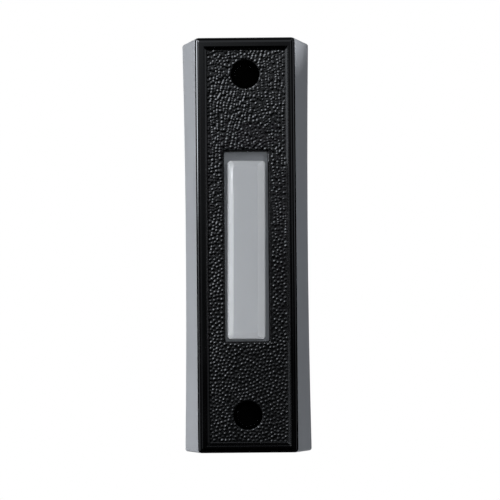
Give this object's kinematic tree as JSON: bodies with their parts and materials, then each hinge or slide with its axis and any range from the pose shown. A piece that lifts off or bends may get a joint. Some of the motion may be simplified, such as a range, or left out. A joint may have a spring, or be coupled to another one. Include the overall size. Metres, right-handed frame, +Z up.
{
  "type": "doorbell push button",
  "caption": "Upright bar-type bell push: flared grey case, black leather-grained face plate with a raised rim, sprung translucent push bar with contacts and a lamp behind it.",
  "frame": {"origin": "centre of the back, in the plane of the wall, half way between the two screw holes", "axes": "+Z up, the long way of the bell push; -Y out of the wall, towards the person who presses it; +X to that person's right"},
  "size_m": [0.0274, 0.0153, 0.0888],
  "materials": {
    "case_grey": "silver-grey moulded plastic with a fine satin finish",
    "plate_black": "black, semi-gloss, with a moulded leather grain in the recessed panel",
    "bar_white": "translucent milky white, satin",
    "board_brown": "moulded phenolic, dull",
    "bronze": "springy phosphor bronze strip",
    "brass": "turned or pressed brass",
    "contact_silver": "dull silver contact metal",
    "zinc": "zinc-plated steel screws",
    "spring_steel": "drawn steel wire",
    "lamp_glass": "clear lamp glass",
    "holder_rubber": "moulded rubber grommet",
    "tinned_wire": "tinned copper wire"
  },
  "bodies": {
    "housing": {"outer_case": "case_grey", "face_plate": "plate_black", "contact_board": "board_brown", "contact_leaf": "bronze", "contact_strip": "brass", "fixed_contact": "contact_silver", "leaf_eyelet": "brass", "strip_eyelet": "brass", "terminal_bush_left": "brass", "terminal_bush_right": "brass", "terminal_washer_left": "brass", "terminal_washer_right": "brass", "terminal_screw_left": "brass", "terminal_screw_right": "brass", "board_screw_upper_left": "zinc", "board_screw_upper_right": "zinc", "board_screw_lower_left": "zinc", "board_screw_lower_right": "zinc", "return_spring_upper": "spring_steel", "return_spring_lower": "spring_steel", "lamp_bulb": "lamp_glass", "lamp_holder": "holder_rubber", "lamp_lead_left": "tinned_wire", "lamp_lead_right": "tinned_wire"},
    "button": {"push_bar": "bar_white", "moving_contact": "contact_silver"}
  },
  "joints": [
    {"name": "bar_press", "type": "slide", "parent": "housing", "child": "button", "axis": [0, 1, 0], "range_m": [0, 0.0012], "stiffness_N_per_m": 800, "springref_m": -0.0015, "deforming": ["return_spring_upper", "return_spring_lower", "contact_leaf"]}
  ]
}
